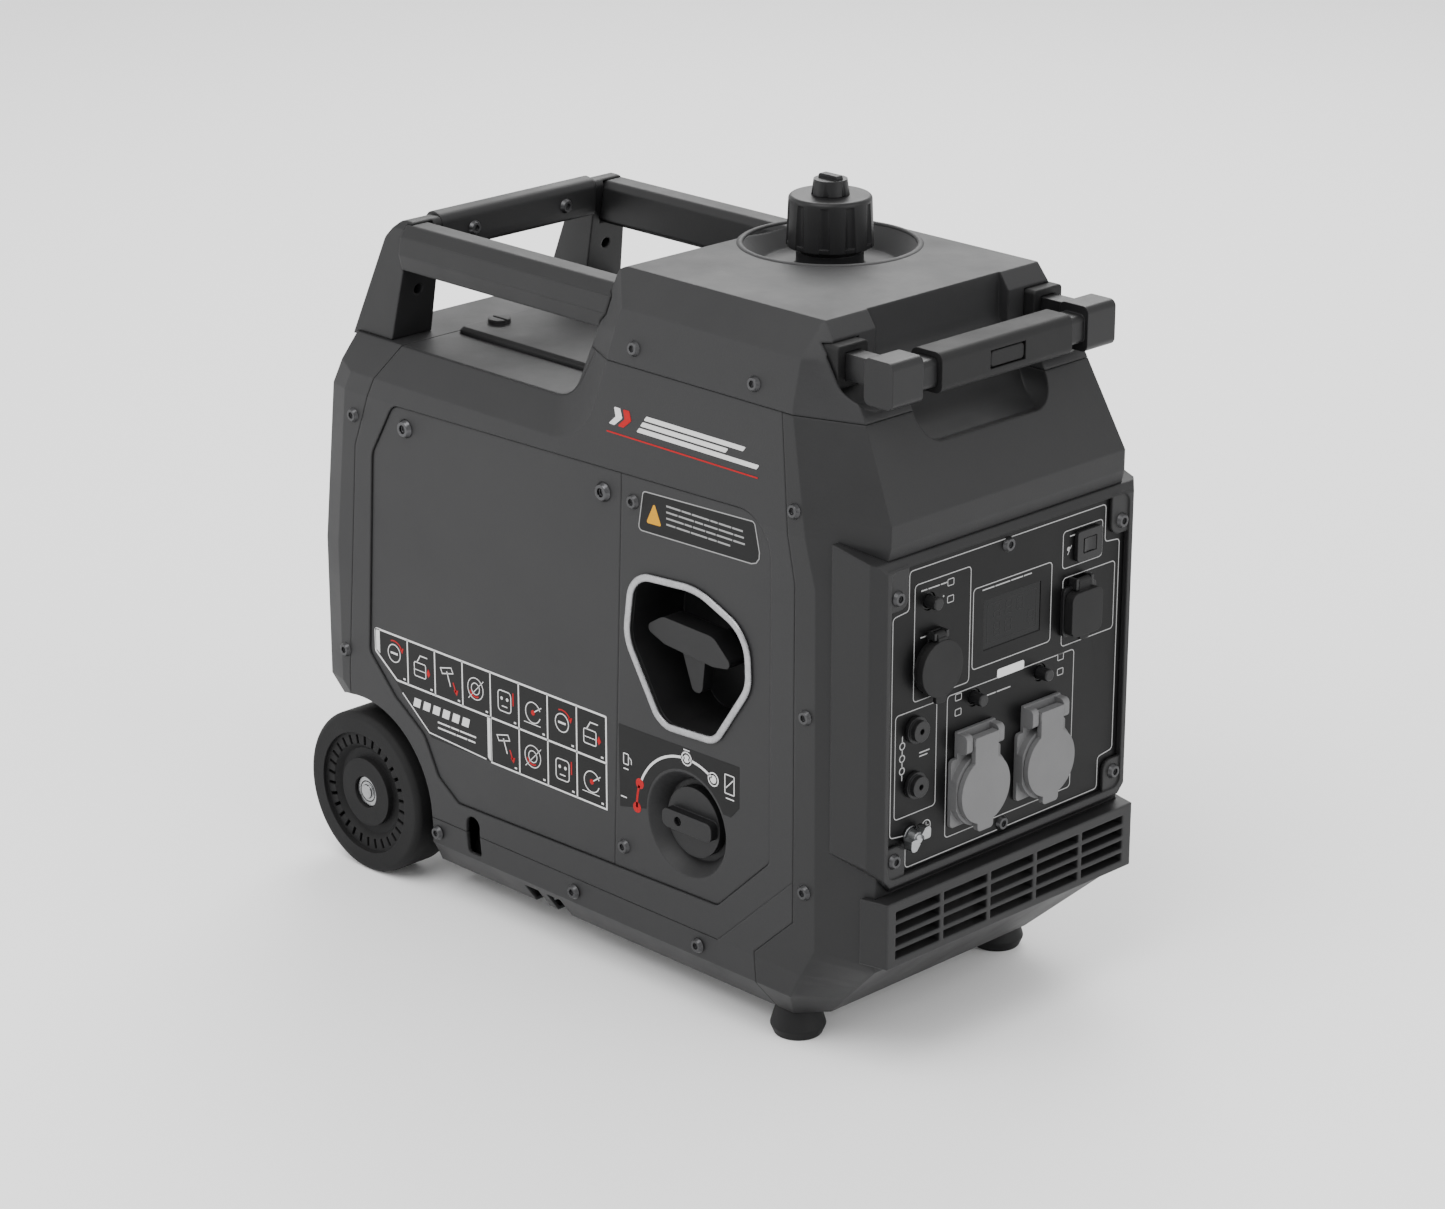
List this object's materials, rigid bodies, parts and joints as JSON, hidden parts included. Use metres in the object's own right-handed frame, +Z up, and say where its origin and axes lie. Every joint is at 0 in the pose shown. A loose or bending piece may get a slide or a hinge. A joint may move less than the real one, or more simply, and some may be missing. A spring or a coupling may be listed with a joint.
{
  "type": "inverter generator",
  "caption": "Closed-case portable inverter generator on two wheels with a telescopic pull handle, fuel cap, recoil starter, engine dial and a socket panel.",
  "frame": {"origin": "on the floor under the middle of the machine's box", "axes": "+X towards the control panel end, +Z up, -Y towards the starter side; the narrow width runs along Y"},
  "size_m": [0.6, 0.2856, 0.5722],
  "materials": {
    "case_plastic": "fine grained charcoal moulding",
    "dark_plastic": "fine grained near-black moulding",
    "panel_black": "satin black printed plate",
    "socket_grey": "satin mid grey moulding",
    "rubber": "matt black",
    "tyre": "solid tyre on a plastic hub",
    "silver_trim": "satin silver",
    "steel": "zinc plated",
    "screw_black": "black zinc",
    "brass": "plated",
    "glass": "dark display lens",
    "cast_aluminium": "sand cast",
    "forged_steel": "machined",
    "hot_steel": "heat tinted",
    "tank_steel": "powder coat",
    "rope": "braided nylon",
    "copper_core": "lacquered windings"
  },
  "bodies": {
    "case": {"ac_sockets": "socket_grey", "air_filter_box": "dark_plastic", "axle": "steel", "base_pan": "case_plastic", "carburettor": "cast_aluminium", "case_screws": "screw_black", "control_panel": "panel_black", "cylinder_head": "cast_aluminium", "dc_socket": "dark_plastic", "display_window": "glass", "engine_block": "cast_aluminium", "front_feet": "rubber", "front_frame": "case_plastic", "fuel_tank": "tank_steel", "ground_stud": "steel", "handle_bushings": "rubber", "handle_uprights": "case_plastic", "intake_grille": "case_plastic", "inverter_module": "cast_aluminium", "left_side_cover": "case_plastic", "muffler": "hot_steel", "panel_bezel": "case_plastic", "panel_fittings": "dark_plastic", "rear_cover": "case_plastic", "rear_cross_bar": "case_plastic", "rear_deck": "case_plastic", "recoil_cup": "dark_plastic", "recoil_housing": "dark_plastic", "recoil_panel": "case_plastic", "recoil_trim": "silver_trim", "right_side_cover": "case_plastic", "side_rails": "case_plastic", "spark_plug": "steel", "starter_rope": "rope", "stator": "copper_core", "tank_cover": "case_plastic"},
    "door": {"service_door": "case_plastic", "door_screws": "steel"},
    "hatch": {"top_hatch": "case_plastic"},
    "dial": {"engine_dial": "dark_plastic"},
    "starter_grip": {"recoil_grip": "dark_plastic"},
    "starter_pulley": {"recoil_pulley": "forged_steel"},
    "crank": {"crankshaft": "forged_steel", "rotor": "forged_steel"},
    "pull_handle": {"handle_arms": "dark_plastic", "handle_grip": "rubber"},
    "release_button": {"handle_button": "rubber"},
    "eco_switch": {"eco_rocker": "dark_plastic"},
    "usb_lid": {"usb_cover": "rubber"},
    "dc_lid": {"dc_cap": "rubber"},
    "dc_breaker": {"dc_breaker": "dark_plastic"},
    "ac_breaker_1": {"ac_breaker_1": "dark_plastic"},
    "ac_breaker_2": {"ac_breaker_2": "dark_plastic"},
    "ac_lid_1": {"ac_lid_1": "socket_grey"},
    "ac_lid_2": {"ac_lid_2": "socket_grey"},
    "wing_nut": {"wing_nut": "brass"},
    "fuel_cap": {"fuel_cap": "dark_plastic"},
    "vent_knob": {"vent_knob": "dark_plastic"},
    "wheel_left": {"wheel_left": "tyre"},
    "wheel_right": {"wheel_right": "tyre"}
  },
  "joints": [
    {"name": "door_tilt", "type": "hinge", "parent": "case", "child": "door", "pos_m": [-0.08, -0.1388, 0.087], "axis": [1, 0, 0], "range_deg": [0, 45]},
    {"name": "hatch_lift", "type": "hinge", "parent": "case", "child": "hatch", "pos_m": [-0.038, 0, 0.4265], "axis": [0, 1, 0], "range_deg": [0, 75]},
    {"name": "dial_turn", "type": "hinge", "parent": "case", "child": "dial", "pos_m": [0.116, -0.13, 0.144], "axis": [0, 1, 0], "range_deg": [0, 125]},
    {"name": "starter_pull", "type": "slide", "parent": "case", "child": "starter_grip", "axis": [0, -1, 0], "range_m": [0, 0.5], "stiffness_N_per_m": 15, "springref_m": -0.3, "deforming": ["starter_rope"]},
    {"name": "pulley_turn", "type": "hinge", "parent": "case", "child": "starter_pulley", "pos_m": [0.112, 0, 0.215], "axis": [1, 0, 0], "range_deg": [0, 540]},
    {"name": "crank_spin", "type": "hinge", "parent": "case", "child": "crank", "pos_m": [0, 0, 0.215], "axis": [1, 0, 0], "continuous": true},
    {"name": "handle_pull", "type": "slide", "parent": "case", "child": "pull_handle", "axis": [1, 0, 0], "range_m": [0, 0.35]},
    {"name": "button_press", "type": "slide", "parent": "pull_handle", "child": "release_button", "axis": [-1, 0, 0], "range_m": [0, 0.003], "stiffness_N_per_m": 800},
    {"name": "eco_rock", "type": "hinge", "parent": "case", "child": "eco_switch", "pos_m": [0.287, 0.08, 0.342], "axis": [0, 0, 1], "range_deg": [-7, 7]},
    {"name": "usb_lid_open", "type": "hinge", "parent": "case", "child": "usb_lid", "pos_m": [0.292, 0.071, 0.318], "axis": [0, -1, 0], "range_deg": [0, 120]},
    {"name": "dc_lid_open", "type": "hinge", "parent": "case", "child": "dc_lid", "pos_m": [0.292, -0.075, 0.316], "axis": [0, -1, 0], "range_deg": [0, 115]},
    {"name": "dc_breaker_press", "type": "slide", "parent": "case", "child": "dc_breaker", "axis": [-1, 0, 0], "range_m": [0, 0.003], "stiffness_N_per_m": 1000},
    {"name": "ac_breaker_1_press", "type": "slide", "parent": "case", "child": "ac_breaker_1", "axis": [-1, 0, 0], "range_m": [0, 0.003], "stiffness_N_per_m": 1000},
    {"name": "ac_breaker_2_press", "type": "slide", "parent": "case", "child": "ac_breaker_2", "axis": [-1, 0, 0], "range_m": [0, 0.003], "stiffness_N_per_m": 1000},
    {"name": "ac_lid_1_open", "type": "hinge", "parent": "case", "child": "ac_lid_1", "pos_m": [0.296, -0.033, 0.231], "axis": [0, -1, 0], "range_deg": [0, 110], "stiffness_Nm_per_rad": 0.02, "springref_deg": -28.65},
    {"name": "ac_lid_2_open", "type": "hinge", "parent": "case", "child": "ac_lid_2", "pos_m": [0.296, 0.0345, 0.231], "axis": [0, -1, 0], "range_deg": [0, 110], "stiffness_Nm_per_rad": 0.02, "springref_deg": -28.65},
    {"name": "wing_nut_turn", "type": "hinge", "parent": "case", "child": "wing_nut", "pos_m": [0.292, -0.095, 0.176], "axis": [1, 0, 0], "continuous": true},
    {"name": "fuel_cap_turn", "type": "hinge", "parent": "case", "child": "fuel_cap", "pos_m": [0.0775, 0.04, 0.54], "axis": [0, 0, 1], "range_deg": [0, 270]},
    {"name": "vent_turn", "type": "hinge", "parent": "fuel_cap", "child": "vent_knob", "pos_m": [0.0775, 0.04, 0.565], "axis": [0, 0, 1], "range_deg": [0, 90]},
    {"name": "wheel_left_spin", "type": "hinge", "parent": "case", "child": "wheel_left", "pos_m": [-0.236, -0.1225, 0.064], "axis": [0, 1, 0], "continuous": true},
    {"name": "wheel_right_spin", "type": "hinge", "parent": "case", "child": "wheel_right", "pos_m": [-0.236, 0.1225, 0.064], "axis": [0, 1, 0], "continuous": true}
  ],
  "couplings": [
    {"joint": "pulley_turn", "follows": "starter_pull", "rad_per_m": 18.182}
  ]
}
